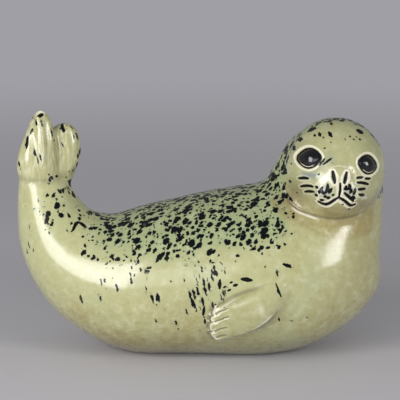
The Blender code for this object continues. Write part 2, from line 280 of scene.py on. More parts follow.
# %% [markdown]
# ## The cuts
#
# The real ones were drawn into the leather-hard clay with a pointed tool. A boolean for each would leave
# hard steps, and a bump in the material would be missing from the mesh. So a line is drawn on the face as a
# few points, seen from the front, and a smooth curve goes through them. Every point of the clay knows how
# far it is from that curve. Close to it the clay is pushed in, and just outside it is raised a little, as a
# tool raises a burr that the glaze then rounds off. The same distance gives where the pigment lies, so the
# colour can't miss the cut.

# %% A smooth curve through a few points
def curve_through(points, steps=6):
    """Points on a smooth curve through the given ones."""
    ends = np.array([points[0], *points, points[-1]], float)
    dense = []
    for i in range(len(points) - 1):
        a, b, c, d = ends[i:i + 4]
        for t in np.arange(steps) / steps:
            turning = (2 * a - 5 * b + 4 * c - d) * t ** 2 + (3 * b - a - 3 * c + d) * t ** 3
            dense.append((2 * b + (c - a) * t + turning) / 2)
    return np.array([*dense, ends[-1]])


# %% How far the clay is from a curve
FAR_AWAY = 1e9
REACH_OF_A_LINE = 8


def distance_to(line, seen):
    """How far each seen point is from a line, and how far along it the nearest place is, from 0 to 1."""
    nearest = np.full(len(seen), FAR_AWAY)
    share = np.zeros(len(seen))
    close = np.abs(seen - line.mean(0)).max(1) < REACH_OF_A_LINE + np.abs(line - line.mean(0)).max()
    for i, (a, b) in enumerate(zip(line, line[1:])):
        reach = b - a
        t = np.clip(((seen[close] - a) @ reach) / max(reach @ reach, 1e-9), 0, 1)
        apart = np.linalg.norm(seen[close] - a - t[:, None] * reach, axis=1)
        better = apart < nearest[close]
        where = np.flatnonzero(close)[better]
        nearest[where] = apart[better]
        share[where] = (i + t[better]) / (len(line) - 1)
    return nearest, share


# %% [markdown]
# On the real flippers the toes end in a rounded fan. The solid ends them in a straighter line, which is
# enough at its size. Modelling new toes would leave a seam, so the clay is drawn out instead: at each height
# by the gap between where the cast ends and where the fan does.

# %% Draw the toes out
places, normals = points_of(skin)
TOE_END_HEIGHTS = (17, 18.5, 20.4, 23.8, 28.4, 34.5, 38.7, 42.9, 48)
TOE_ENDS = (12, 9.4, 7.6, 6.2, 5.6, 6.3, 7.5, 9, 13)
CAST_TOE_ENDS = (12, 10.5, 10.4, 10.3, 10.2, 10.3, 10.6, 12, 16)
x, y, z = places.T
pull = np.interp(z, TOE_END_HEIGHTS, CAST_TOE_ENDS) - np.interp(z, TOE_END_HEIGHTS, TOE_ENDS)
pull *= ramp(x, -6, 9) * ramp(x, 23, 13) * ramp(z, 14, 18) * ramp(z, 50, 44) * ramp(np.abs(y), 34, 40)
places[:, 0] -= pull
print("toes drawn out by", round(float(pull.max()), 1), "mm")

# %% [markdown]
# A mask is one number for each point of the clay, from 0 to 1. It says how much of a finish lies there, such
# as pigment, pale glaze or pooled glaze, and two masks also carry painted shade and painted highlights. The
# masks are filled while the clay is carved, and the material reads them at the end. No picture has to be
# wrapped round the figure, and the mesh is fine where the masks change quickly.

# %% The face seen from the front, and the masks
on_head = seen_from_face(places)
face = np.column_stack((on_head[:, 0], on_head[:, 2]))
facing_us = normals @ np.array(head.to_3x3() @ Vector((0, -1, 0)))
is_face = ramp(on_head[:, 1], -3, -8) * ramp(facing_us, 0.02, 0.2)
is_face *= ramp(np.linalg.norm(on_head, axis=1), 48, 44)
sunk = np.zeros(len(places))
raised = np.zeros(len(places))
MASKS = ("ink", "cream_and_highlight", "blue", "eye", "bare", "spots", "streaks", "warm", "pool_and_shade", "runs")
masks = {name: np.zeros(len(places)) for name in MASKS}
print("points on the face:", int((is_face > 0.5).sum()))

# %% Helpers that carve the clay and fill the masks
INK_EDGE = 1.4


def lay(name, amount, where=1.0):
    """Adds to a mask, which keeps the higher of the old and the new amount."""
    masks[name] = np.maximum(masks[name], amount * where)


def edge(depth_inside):
    """A mask that is a half at an edge, so that the material can find the edge between the points."""
    return np.clip(0.5 + depth_inside / INK_EDGE, 0, 1)


def move(amount, where=1.0):
    """Sinks the clay where the amount is below 0 and raises it elsewhere. The deeper of two cuts holds."""
    np.minimum(sunk, amount * where, out=sunk)
    np.maximum(raised, amount * where, out=raised)


def carve(seen, where, points, half_width, depth, burr=0.05, pale=0.55, inked=True):
    """Cuts a line, raises its edges, inks its bed and lets the glaze break pale on its edges."""
    apart, share = distance_to(curve_through(points), seen)
    width = half_width * (0.68 + 0.32 * np.sin(np.pi * share))
    move(-depth * np.exp(-(apart / width) ** 2 * 1.3), where)
    move(burr * np.exp(-((apart - 1.9 * width) / (0.7 * width)) ** 2), where)
    if inked:
        lay("ink", edge(1.05 * width - apart), where)
    lay("cream_and_highlight", pale * np.exp(-((apart - 2 * width) / (0.85 * width)) ** 2), where)


# %% [markdown]
# The nostrils are two slanting slits, and a short line runs down from the nose to the two curves of the
# mouth. The tool was pressed hardest in the nostrils, so they are the deepest cuts on the figure. The
# strokes of the whiskers and the pits that they grow from are shallow.

# %% Nostrils, the line under the nose, and the mouth
NOSTRILS = (((-5.3, 3.4), (-4.5, 0), (-3.7, -2.8)), ((3, 3.6), (2.6, 0), (2.2, -2.4)))
PHILTRUM = ((-0.4, -2.8), (0.1, -7), (-0.2, -11.6))
MOUTH = (
    ((-0.2, -11.6), (-3.2, -14), (-6.2, -16.6), (-9, -16.9), (-11.6, -16)),
    ((-0.2, -11.6), (3.6, -13.6), (7.6, -16.4), (10.4, -15.6)),
)
for points in NOSTRILS:
    carve(face, is_face, points, 1.15, 0.9, burr=0.25, pale=0.9)
carve(face, is_face, PHILTRUM, 0.75, 0.5, pale=0.8)
for points in MOUTH:
    carve(face, is_face, points, 0.95, 0.7, burr=0.15, pale=0.8)
print("deepest cut so far:", round(float(sunk.min()), 2), "mm")

# %% Whisker strokes and the pits they grow from
WHISKERS = (
    ((-23.7, -4.5), (-21.4, -3.5), (-18.8, -3.1)),
    ((-22.1, -9.3), (-19, -7.8), (-15.8, -7.3)),
    ((-19.4, -12.1), (-17.2, -11), (-15.1, -10.4)),
    ((9.9, 0.7), (13.3, 0.9)),
    ((15.4, 0.2), (18.2, 0)),
    ((10.4, -2), (14, -2.4), (17.6, -3.6)),
    ((11.4, -6), (15.8, -6.2)),
    ((12, -9), (15.6, -10.2)),
)
PITS = (
    ((-14, -6.9), (-13.4, -7.2)),
    ((-7.6, -4.4), (-7.4, -6.4), (-8.4, -9.4)),
    ((-5.2, -6.6), (-6.4, -9)),
    ((-10.6, -6.4), (-11.2, -8), (-10, -9.6), (-8.6, -9.6)),
    ((-13.8, -11.6), (-13.2, -12.2)),
    ((-7, -12.6), (-5.8, -12.2)),
    ((-4, -10.4), (-3.6, -10.2)),
    ((-10.6, -14.4), (-9.4, -14.2)),
    ((2.4, -6), (4.6, -6)),
    ((5.2, -3.4), (5.8, -5.6)),
    ((9.4, -5.8), (8.4, -8.8)),
    ((6.8, -6.2), (6.2, -8)),
    ((3, -8.6), (5.6, -10.6), (8.6, -13)),
    ((-12, -8.8), (-12.2, -10)),
    ((-9, -11.8), (-8, -11.6)),
    ((3.4, -4.4), (3.2, -4.8)),
    ((7.8, -10.4), (9.4, -11.4)),
)
for points in WHISKERS:
    carve(face, is_face, points, 0.88, 0.25, pale=0.45)
for points in PITS:
    carve(face, is_face, points, 1.0, 0.25, pale=0.35)
PADS = ((-8.8, -8.4), (5.8, -7))
for middle in PADS:
    lay("blue", 0.75 * np.exp(-(np.linalg.norm(face - middle, axis=1) / 4) ** 2), is_face)
print("strokes:", len(WHISKERS) + len(PITS))

# %% [markdown]
# ## The eyes
#
# An eye is a low dome of the same clay, under a dark glaze that pools to a mirror. A ball set into the head
# would show a seam that the real eye hasn't, so the dome is raised out of the face. The ring round it is an
# ellipse drawn out at its corners, sloping down to the side of the head. The rim outside it is a pinched
# ridge, where the glaze runs thin and breaks pale. All of it is worked out from one number for each point:
# how far out it lies, as a share of the ring's own radius in that direction.

# %% The ring round an eye
EYES = ((-1, 19.3, 8.9, 6.8, 5.4), (1, 16.2, 8.4, 6.3, 5.1))
EYE_SLOPE = math.radians(14)
EYE_SKEW = 0.24
EYE_CORNERS = 0.34
RING_POINTS = 48


def eye_ring(sign, across, up, half_along, half_over):
    """The ring round an eye, seen from the front of the face."""
    t = np.linspace(0, 2 * np.pi, RING_POINTS + 1)
    over = half_over * np.sin(t) * (1 - EYE_CORNERS * np.cos(t) ** 2)
    along = half_along * np.cos(t) - EYE_SKEW * over
    outwards = along * math.cos(EYE_SLOPE) + over * math.sin(EYE_SLOPE)
    upwards = over * math.cos(EYE_SLOPE) - along * math.sin(EYE_SLOPE)
    return np.column_stack((sign * (across + outwards), up + upwards))


# %% The dome, the ring and the rim of each eye
for eye in EYES:
    middle = np.array((eye[0] * eye[1], eye[2]))
    ring = eye_ring(*eye)
    apart, _ = distance_to(ring, face)
    turns = np.arctan2(*(ring[:-1] - middle).T)
    radii = np.linalg.norm(ring[:-1] - middle, axis=1)
    order = np.argsort(turns)
    offset = face - middle
    reach = np.interp(np.arctan2(*offset.T), turns[order], radii[order], period=2 * np.pi)
    share = np.linalg.norm(offset, axis=1) / reach
    inside = ramp(share, 1.02, 0.96)
    outside = 1 - inside
    lid = 0.99 - 0.17 * ramp(-offset[:, 1] / np.linalg.norm(offset, axis=1), 0.3, 0.9)
    ball = edge(5 * (lid - share))
    move(0.9 * np.clip(1 - share ** 2, 0, 1), is_face)
    move(-0.6 * np.exp(-(apart / 0.8) ** 2), is_face)
    move(outside * 0.25 * np.exp(-((apart - 1.6) / 0.8) ** 2), is_face)
    lay("eye", ball, is_face)
    lay("ink", edge(0.5 - apart), is_face)
    lay("cream_and_highlight", np.maximum(outside * np.exp(-((apart - 1.3) / 0.52) ** 2), inside - ball), is_face)
    print("eye at", middle, "with", int((inside > 0.5).sum()), "points")

# %% [markdown]
# ## Chin, toes and folds
#
# The head was set on the chest, and the seam under the chin was worked with a tool. The toes are parted by
# four short cuts, and their ends are rounded off between the cuts. The wrist of the tail has a soft crease.
# All of these are lines again, so the same helpers serve. The toes and the folds are drawn as seen from the
# side, and what is drawn there reaches both flanks at once.

# %% The crease under the chin
CHIN_CREASE = (
    (-30.6, -13), (-29.6, -16.4), (-26.8, -20.8), (-22.4, -24), (-16.4, -25.8),
    (-8.2, -27.4), (1, -27.6), (10.2, -26.2), (19, -23.4), (26, -20),
)
near_chin = ramp(on_head[:, 1], 14, 6) * ramp(facing_us, -0.1, 0.1)
apart, share = distance_to(curve_through(CHIN_CREASE), face)
fading = ramp(share, 0, 0.12) * ramp(share, 1, 0.75)
move(-0.6 * np.exp(-(apart / 1.0) ** 2), near_chin * fading)
lay("pool_and_shade", np.exp(-(apart / 0.9) ** 2), near_chin * fading)
print("points in the crease under the chin:", int(((apart < 1) & (near_chin > 0.5)).sum()))

# %% The collar outside it, with a painted highlight along its left part
COLLAR = 1.045
apart, share = distance_to(curve_through(COLLAR * np.array(CHIN_CREASE)), face)
left_end = ramp(share, 0.22, 0.34) * ramp(share, 0.6, 0.48)
move(0.35 * np.exp(-(apart / 1.1) ** 2), near_chin * left_end)
# Painted highlight: the pale line along the left part of the collar stands in for the gloss there catching
# the left lamp.
lay("cream_and_highlight", 0.95 * np.exp(-(apart / 0.8) ** 2), near_chin * left_end)
print("points on the collar:", int(((apart < 1) & (near_chin * left_end > 0.5)).sum()))

# %% The toes of both front flippers, seen from their own side
TOE_LINES = (
    ((5, 35.9), (8.6, 37.4), (12, 39.4), (16.6, 41.6)),
    ((4, 31.4), (8.6, 32.4), (12, 34), (16.8, 36.2)),
    ((4, 24.8), (8.6, 25.8), (12, 27.4), (16, 29)),
    ((4.5, 19.6), (8.6, 20.8), (12, 22.2), (16, 23.4)),
)
flank = np.column_stack((places[:, 0], places[:, 2]))
is_side = ramp(np.abs(normals[:, 1]), 0.15, 0.35) * ramp(np.abs(places[:, 1]), 36, 41)
scallop = sum(np.exp(-((flank[:, 1] - line[0][1] - 0.8) / 0.9) ** 2) for line in TOE_LINES)
past_end = flank[:, 0] - np.interp(flank[:, 1], TOE_END_HEIGHTS, TOE_ENDS) - 1.5 * scallop
beside_toes = is_side * ramp(flank[:, 1], 16, 18) * ramp(flank[:, 1], 45, 42)
for points in TOE_LINES:
    carve(flank, beside_toes * ramp(past_end, -0.3, 0.8), points, 0.75, 0.8, burr=0.1, pale=0.2, inked=False)
    apart, _ = distance_to(curve_through(points), flank)
    lay("pool_and_shade", 1.3 * np.exp(-(apart / 0.5) ** 2), beside_toes * ramp(past_end, -0.3, 0.8))
move(-0.7 * np.exp(-((past_end + 1.0) / 0.9) ** 2), beside_toes)
lay("pool_and_shade", np.exp(-((past_end + 1.4) / 1.2) ** 2), beside_toes)
lay("cream_and_highlight", 0.8 * np.exp(-((past_end - 0.7) / 0.7) ** 2), beside_toes)

# %% The crisp lines under and over each front flipper
LOWER_EDGE = (
    (9.6, 18), (15, 18.8), (22.4, 21.4), (29.9, 24.4), (36, 27.8), (41.8, 32.2), (46.3, 37.4), (50, 43),
)
UPPER_EDGE = ((9.4, 43), (15, 45.6), (20, 48), (26, 50.6), (33, 53.2), (40, 56))


def edge_line(points, inwards, strength, brightest):
    """A crease outside an edge, and the pale line where the glaze breaks on the crest inside it.

    The line is palest at one share of its length.
    """
    apart, share = distance_to(curve_through(points), flank)
    inside = inwards * (flank[:, 1] - np.interp(flank[:, 0], *np.array(points).T))
    along = is_side * ramp(share, 0, 0.05) * ramp(share, 1, 0.75) * strength
    move(-0.6 * np.exp(-(apart / 0.9) ** 2), along)
    lay("pool_and_shade", np.exp(-(apart / 1.2) ** 2), along)
    paleness = 0.2 + 0.6 * np.exp(-((share - brightest) / 0.2) ** 2)
    lay("cream_and_highlight", paleness * np.exp(-((apart - 1.9) / 0.8) ** 2), along * ramp(inside, 0.4, 1.2))


edge_line(LOWER_EDGE, 1, 0.9, 0.7)
edge_line(UPPER_EDGE, -1, 0.7, 0.2)
print("points beside the toes:", int((beside_toes > 0.5).sum()))

# %% The crease round the tail's wrist
WRIST_CREASE = ((-114, 111.8), (-106, 110.8), (-98.9, 110.6), (-92, 111), (-85, 112.4), (-78, 114.4))
apart, _ = distance_to(curve_through(WRIST_CREASE), flank)
soft = ramp(np.abs(normals[:, 1]), 0.0, 0.3)
move(-0.35 * np.exp(-(apart / 2.2) ** 2), soft)
lay("pool_and_shade", 0.5 * np.exp(-(apart / 2) ** 2), soft)
print("points in the wrist's crease:", int((apart < 2).sum()))

# %% The ridge down the near hind flipper
TAIL_RIDGE = ((-100, 151), (-98.5, 142), (-97.5, 130), (-97, 119))
apart, share = distance_to(curve_through(TAIL_RIDGE), flank)
on_lobe = ramp(normals[:, 1], -0.1, -0.4) * ramp(share, 0, 0.1) * ramp(share, 1, 0.8)
move(1.0 * np.exp(-(apart / 1.6) ** 2), on_lobe)
move(-0.8 * np.exp(-((apart - 4.6) / 2) ** 2), on_lobe)
lay("cream_and_highlight", 0.7 * np.exp(-(apart / 0.9) ** 2), on_lobe)
print("points on the ridge:", int(((apart < 2) & (on_lobe > 0.5)).sum()))

# %% Push the clay
moved = (places + normals * (sunk + raised)[:, None]) * MM
skin.data.vertices.foreach_set("co", moved.ravel())
skin.data.update()
print("pushed from", round(float(sunk.min()), 2), "to", round(float(raised.max()), 2), "mm")

# %% [markdown]
# A glaze runs thin on an edge and pools in a hollow. How sharply the surface bends at a point is what its
# neighbours say: on an edge their average lies under the point, and in a hollow above it. The bend is
# averaged a few times so that single points don't show. The Geometry node's Pointiness says much the same,
# but it changes with how fine the mesh is, and here the face is finer than the trunk.

# %% How sharply the clay bends
places, normals = points_of(skin)
pairs = np.empty(len(skin.data.edges) * 2, dtype=np.int64)
skin.data.edges.foreach_get("vertices", pairs)
pairs = pairs.reshape(-1, 2)
mates = np.bincount(pairs.ravel(), minlength=len(places))


def neighbour_mean(values):
    """The average of the values at the points next to each point."""
    total = np.bincount(pairs[:, 0], values[pairs[:, 1]], len(places))
    total += np.bincount(pairs[:, 1], values[pairs[:, 0]], len(places))
    return total / mates


around = np.column_stack([neighbour_mean(axis) for axis in places.T])
spacing = np.linalg.norm(places[pairs[:, 0]] - places[pairs[:, 1]], axis=1)
room = np.bincount(pairs.ravel(), np.repeat(spacing, 2), len(places)) / mates
bend = 2 * np.sum((places - around) * normals, axis=1) / room ** 2
for _ in range(5):
    bend = 0.5 * bend + 0.5 * neighbour_mean(bend)
lay("cream_and_highlight", 0.85 * ramp(bend, 0.1, 0.32))
lay("pool_and_shade", ramp(bend, -0.06, -0.25))
print("bend, per mm:", np.round(np.percentile(bend, (1, 50, 99)), 3))

# %% [markdown]
# ## Where the pigment lies
#
# The spots of the coat were dotted on with a brush: thickest on the back, thinning out down the flanks to a
# few strokes that the glaze has dragged, and almost none on the belly, the chest and the flippers. How
# thick they lie is painted as masks on the points. The spots themselves are a pattern in the material, so
# they can be finer than the mesh. The few strokes on the face are placed one by one.

# %% How thick the spots lie
x, y, z = places.T
height = z - 0.1 * (x + 60) * ramp(x, -60, 0)
on_trunk = ramp(height, 58, 82) * ramp(x, -80, -56)
on_neck = ramp(z, 84, 96) * ramp(x, 36, 46) * ramp(on_head[:, 1], -16, 4)
on_tail = 0.25 * ramp(x, -60, -80) * ramp(x, -108, -92) * ramp(z, 118, 108) * ramp(z, 72, 86)
clear_chest = 1 - ramp(x, 46, 60) * ramp(z, 108, 97) * ramp(y, 20, -10)
on_flipper = ramp(x, 5, 9) * ramp(x, 60, 50) * ramp(np.abs(y), 34, 40)
on_flipper *= ramp(z - 0.34 * (x - 10), 45, 39) * ramp(z - 0.55 * (x - 12), 12, 16)
on_trunk *= 0.86 + 0.34 * ramp(x, -60, 30)
off_face = 1 - is_face * ramp(np.linalg.norm(face, axis=1), 35, 32)
thick = np.maximum(np.maximum(on_trunk, on_neck) * clear_chest, on_tail) * (1 - on_flipper)
lay("spots", (thick + 0.2 * ramp(z, 138, 146) * ramp(x, 40, 60)) * off_face)
low_flank = ramp(z, 22, 34) * ramp(z, 74, 60) * ramp(x, -84, -62) * ramp(x, 96, 60)
GROUPS = ((-69, 61), (-57, 51), (-43, 63), (-30, 54), (-25, 43))
grouped = sum(np.exp(-((x - across) / 4.5) ** 2 - ((z - up) / 9) ** 2) for across, up in GROUPS)
by_toes = ramp(x, -14, -5) * ramp(x, 20, 12) * ramp(z, 30, 38) * ramp(z, 78, 66)
on_stem = 0.24 * ramp(z, 112, 118) * ramp(x, -60, -66) + 0.12 * ramp(x, -70, -80) * ramp(z, 60, 70)
lay("streaks", np.maximum(np.maximum(0.06 * low_flank + 0.7 * grouped, by_toes) * (1 - on_flipper), on_stem))
lay("runs", ramp(z, 104, 118) * ramp(x, -55, -65))
print("share under dense spots:", round(float((masks["spots"] > 0.5).mean()), 2))

# %% Strokes that are painted on the face and not cut
PAINTED = (
    ((-14.6, 27.7), (-13.1, 28.3), 0.45), ((-9.3, 29.6), (-7.5, 30), 0.7),
    ((-7.1, 29), (-5.8, 28.8), 0.6), ((-20.4, 22.5), (-15.6, 25.5), 0.6),
    ((-16.7, 21.7), (-16.1, 22), 0.7), ((-13.9, 23.4), (-13.3, 22.3), 1.1),
    ((-11.7, 21.8), (-11.4, 21.5), 0.6), ((-8.1, 24.5), (-7, 23), 1.2),
    ((-7.2, 19.9), (-7.1, 19.6), 0.5), ((-25.2, 16.6), (-23.3, 18.4), 0.9),
    ((-28.5, 11.4), (-28, 12.4), 0.6), ((-27.8, 10.8), (-27, 12.7), 0.8),
    ((-29.9, 7.4), (-29, 8.6), 0.5), ((-28.5, 2.8), (-28.3, 2.6), 0.7),
    ((9, 26.7), (12.6, 25.5), 1.0), ((3.8, 23.9), (4.8, 23.6), 0.5),
    ((1.1, 22.2), (1.7, 22), 0.45), ((6.2, 22.4), (7.2, 22.1), 0.5),
    ((8, 23.7), (8.7, 23.4), 0.4), ((10.1, 22.5), (11, 22.1), 0.6),
    ((6.2, 5.3), (6.4, 5), 0.5), ((-13.4, 6), (-10.5, 10.3), 0.6),
    ((-11.2, 6.9), (-6.5, 11), 0.65), ((-13.5, 0.2), (-12.9, 0.9), 0.6),
    ((7.2, -18.9), (7.6, -19.5), 0.8), ((-23.7, -14.1), (-23.4, -14.3), 0.6),
    ((-28.1, -8.1), (-27.8, -9), 0.8), ((-31.2, -7.2), (-30.6, -13), 0.8),
    ((-27.5, -18.3), (-25.8, -20.1), 0.8), ((-30.5, 6.2), (-31, 3.5), 0.5),
)
ragged = 0.22 * np.sin(4.3 * face[:, 0] + 1.7 * face[:, 1]) * np.sin(3.9 * face[:, 1] - 1.3 * face[:, 0])


def brush(share):
    """How wide a brush stroke is along its length: full in the middle and drawn out at its ends."""
    return 0.62 + 0.42 * np.sin(np.pi * share)


for start, end, half_width in PAINTED:
    apart, share = distance_to(np.array((start, end)), face)
    lay("ink", edge(half_width * brush(share) - apart - ragged), is_face)
print("painted strokes:", len(PAINTED))

# %% Strokes on the flank, round the front flipper and in the fold of the tail
DRAGGED = (
    ((25, 58.9), (31, 58.2), 1.3), ((20.2, 54.7), (22.4, 55.5), 1.0),
    ((16.8, 51.7), (18.3, 52.4), 0.8), ((17.9, 56.3), (19.7, 57.1), 0.6),
    ((14.2, 53.6), (15.7, 54.3), 0.6), ((45.6, 56.6), (48.9, 48.2), 0.6),
    ((46.6, 52.4), (48, 50.6), 0.8), ((38.8, 66.5), (40.3, 64.6), 0.7),
    ((50, 67.7), (54.9, 65.7), 1.1), ((2.6, 41.3), (1.9, 35.7), 0.9),
    ((2.9, 33), (3, 30), 0.7), ((9, 63.5), (10, 60.4), 1.3),
    ((11.6, 58.1), (11.9, 53.2), 1.2), ((-4.5, 45.2), (-3, 40.2), 1.0),
    ((-79, 81), (-76, 86), 0.9), ((-75, 86), (-70, 83), 0.8),
    ((-86.5, 145), (-84.5, 140), 1.1), ((-99.5, 150.6), (-97, 151.4), 1.3),
    ((-106.2, 138), (-107, 131), 1.0), ((-103.6, 143), (-104.4, 140), 0.9),
)
for start, end, half_width in DRAGGED:
    apart, share = distance_to(np.array((start, end)), flank)
    lay("ink", edge(half_width * brush(share) - apart), ramp(np.abs(normals[:, 1]), 0.1, 0.3))
print("dragged strokes:", len(DRAGGED))

# %% Pale, bluish and brownish places, painted highlights and painted shade, and bare clay
PALE_LINES = (
    ((-6.6, 2.3), (-12.5, -3.9), 1.3), ((-8.9, -1.3), (-13.2, -5.6), 1.6), ((-7.4, 1), (-9.6, -2), 1.4),
    ((-3.2, 1.6), (-1.7, -7), 0.6), ((-1.7, -7), (-1.6, -10.6), 0.6), ((0.2, -1.4), (1, 4), 0.5),
    ((3.9, 2.8), (3.8, -1.9), 0.6), ((0.9, -5), (1.1, -9.8), 0.6), ((-7.4, -19.2), (0, -14.2), 0.5),
    ((0.5, -14.7), (7.6, -18.6), 0.6), ((-12.6, -7.6), (-12.4, -14.2), 0.8), ((-6.5, 5.9), (-1.8, 7.4), 0.3),
    ((-1.8, 7.4), (3, 6.8), 0.3), ((14.6, -12.3), (17.4, -12.4), 0.9),
)
for start, end, half_width in PALE_LINES:
    apart, _ = distance_to(np.array((start, end)), face)
    lay("cream_and_highlight", 0.6 * ramp(apart, 1.6 * half_width, 0.6 * half_width), is_face)
under_eye, _ = distance_to(np.array(((-20.9, -1.5), (-15.3, -0.5))), face)
lay("blue", 0.9 * np.exp(-(under_eye / 1.8) ** 2), is_face)
beside_eye, _ = distance_to(np.array(((-12, 7), (-7, 11))), face)
lay("blue", 0.35 * np.exp(-(beside_eye / 3) ** 2), is_face)
lay("warm", np.maximum(ramp(z, 60, 16), 0.35 * ramp(x, 40, 70) * ramp(z, 110, 84)))
# Painted highlights: pale patches on the front flipper's wrist, on its shoulder and above its toes, where the
# gloss catches the left lamp.
PAINTED_HIGHLIGHTS = ((37, 41, 2.9, 5.2, 0.5), (50, 60, 4.2, 3, 0.3), (7, 53, 3, 2.6, 0.28))
for across, up, half_width, half_height, strength in PAINTED_HIGHLIGHTS:
    apart = np.hypot((flank[:, 0] - across) / half_width, (flank[:, 1] - up) / half_height)
    lay("cream_and_highlight", strength * np.exp(-apart ** 2), ramp(np.abs(normals[:, 1]), 0.1, 0.3))
# Painted shade: darker towards the bottom, where the figure stands in shadow near the floor.
lay("pool_and_shade", 0.75 * ramp(z, 30, 2))
# Painted shade: the head is darkened a little all over, because the lamps light it more strongly than the
# body.
lay("pool_and_shade", 0.15 * ramp(np.linalg.norm(on_head, axis=1), 48, 42) * ramp(z, 84, 94))
# Painted shade on the cheeks and under the mouth, where the head is in half-shadow.
CHEEK_AND_CHIN_SHADE = ((-25, -13, 9, 0.85), (-4, -21.5, 6, 0.45), (18, -18, 6, 0.3))
for across, up, reach, strength in CHEEK_AND_CHIN_SHADE:
    lay("pool_and_shade", strength * np.exp(-(np.linalg.norm(face - (across, up), axis=1) / reach) ** 2), is_face)
# Browner towards the chin: partly the glaze's own tone and partly painted shade under the head.
lay("warm", ramp(face[:, 1], -4, -22), is_face)
lay("bare", ramp(normals[:, 2], -0.97, -0.99) * ramp(z, 0.6, 0.3))
print("pale lines:", len(PALE_LINES), "and painted highlights:", len(PAINTED_HIGHLIGHTS))

# %% Store the masks on the piece
for name, values in masks.items():
    layer = skin.data.attributes.new(name, "FLOAT", "POINT")
    layer.data.foreach_set("value", np.clip(values, 0, 1))
print("masks:", ", ".join(f"{name} {values.mean():.3f}" for name, values in masks.items()))

# %% [markdown]
# ## The glaze
#
# A celadon glaze is never one colour: it drifts from grey-green to straw, pools dark, breaks pale on edges,
# and lets the pigment under it bleed. That takes about two hundred nodes, too many to place by hand, so
# shader sums are written as Python expressions. Each value of the material is wrapped, so that adding or
# multiplying two of them adds the Math node that does it.

# %% A wrapped socket
class Value:
    """The output of a node, which takes part in sums."""

    def __init__(self, paint, socket):
        self.paint = paint
        self.socket = socket

    def maths(self, operation, *others):
        return self.paint.node("ShaderNodeMath", {"operation": operation}, [self, *others])

    def __add__(self, other):
        return self.maths("ADD", other)

    def __sub__(self, other):
        return self.maths("SUBTRACT", other)

    def __rsub__(self, other):
        return self.paint.node("ShaderNodeMath", {"operation": "SUBTRACT"}, [other, self])

    def __mul__(self, other):
        return self.maths("MULTIPLY", other)

    def most(self, other):
        return self.maths("MAXIMUM", other)

    __radd__ = __add__
    __rmul__ = __mul__


# %% A material that is built node by node
class Paint:
    """A material whose nodes are added by one method."""

    def __init__(self, name):
        self.material = bpy.data.materials.new(name)
        self.material.use_nodes = True
        self.tree = self.material.node_tree
        self.shader = self.tree.nodes["Principled BSDF"]

    def put(self, socket, value):
        if isinstance(value, Value):
            self.tree.links.new(value.socket, socket)
        else:
            socket.default_value = value

    def node(self, kind, settings, inputs, output=0):
        """Adds a node, sets it, and fills its inputs by order or by name."""
        made = self.tree.nodes.new(kind)
        for name, value in settings.items():
            setattr(made, name, value)
        pairs = inputs.items() if isinstance(inputs, dict) else enumerate(inputs)
        for key, value in pairs:
            self.put(made.inputs[key], value)
        return Value(self, made.outputs[output])

    def mask(self, name):
        return self.node("ShaderNodeAttribute", {"attribute_name": name}, {}, "Fac")

    def noise(self, place, scale, detail=2.0, rough=0.5):
        inputs = {"Vector": place, "Scale": scale, "Detail": detail, "Roughness": rough}
        return self.node("ShaderNodeTexNoise", {}, inputs, "Fac")

    def step(self, value, low, high, start=0.0, end=1.0):
        """A smooth step as the value goes from low to high."""
        inputs = {"Value": value, "From Min": low, "From Max": high, "To Min": start, "To Max": end}
        return self.node("ShaderNodeMapRange", {"interpolation_type": "SMOOTHSTEP"}, inputs)

    def blend(self, share, below, above):
        """One colour laid over another."""
        return self.node("ShaderNodeMix", {"data_type": "RGBA"}, {0: share, 6: below, 7: above}, 2)


# %% Colours as they are usually written
def colour(red, green, blue):
    """A colour as a picture program writes it, from 0 to 255, as the shader wants it."""
    shares = [level / 255 for level in (red, green, blue)]
    return (*(c / 12.92 if c <= 0.04045 else ((c + 0.055) / 1.055) ** 2.4 for c in shares), 1.0)


print("middle grey for the shader:", round(colour(128, 128, 128)[0], 3))

# %% [markdown]
# Spots are made with Voronoi cells: each cell has one spot round its point. A random number of the cell
# says whether it has a spot there, which the mask decides, and another says how big the spot is. The
# coordinates are warped a little first, which makes the spots ragged, and stretched, which turns them into
# strokes.

# %% The glaze's coordinates, shaken a little
glaze = Paint("celadon_glaze")
where = glaze.node("ShaderNodeTexCoord", {}, {}, "Object")
RAGGED = 2.2 * MM
RAGGED_SCALE = 520.0
shake = glaze.node("ShaderNodeTexNoise", {}, {"Vector": where, "Scale": RAGGED_SCALE, "Detail": 2.0}, "Color")
centred_shake = glaze.node("ShaderNodeVectorMath", {"operation": "SUBTRACT"}, [shake, (0.5, 0.5, 0.5)])
stretched_shake = [centred_shake, (RAGGED,) * 3, where]
shaken = glaze.node("ShaderNodeVectorMath", {"operation": "MULTIPLY_ADD"}, stretched_shake)
print("spots are shaken by up to", RAGGED / MM / 2, "mm")


# %% Strokes out of round spots
def leaning(place, lean, stretch):
    """The place with its X sheared by Z and each axis stretched, so that round spots come out as strokes."""
    parts = [glaze.node("ShaderNodeSeparateXYZ", {}, [place], axis) for axis in "XYZ"]
    sheared = [parts[0] + parts[2] * lean, parts[1], parts[2]]
    return glaze.node("ShaderNodeCombineXYZ", {}, [p * (1 / s) for p, s in zip(sheared, stretch)])


# %% One layer of spots
SPOT_EDGE = 0.035
HALO_WIDTH = 0.2


def spots(place, cell, thickness, smallest, largest, offset):
    """A mask of spots, one at most in each cell, with its halo. Sizes are shares of the cell."""
    moved = glaze.node("ShaderNodeVectorMath", {"operation": "ADD"}, [place, (offset,) * 3])
    inputs = {"Vector": moved, "Scale": 1 / cell}
    cells = glaze.node("ShaderNodeTexVoronoi", {}, inputs, "Distance")
    tint = Value(glaze, cells.socket.node.outputs["Color"])
    chance, size = (glaze.node("ShaderNodeSeparateColor", {}, [tint], name) for name in ("Red", "Green"))
    there = glaze.step(thickness - chance, -0.02, 0.02)
    radius = (size * (largest - smallest) + smallest) * there
    inside = glaze.step(radius - cells, -SPOT_EDGE, SPOT_EDGE)
    halo = glaze.step(radius - cells, -HALO_WIDTH, 0.05)
    return inside * there, halo * there


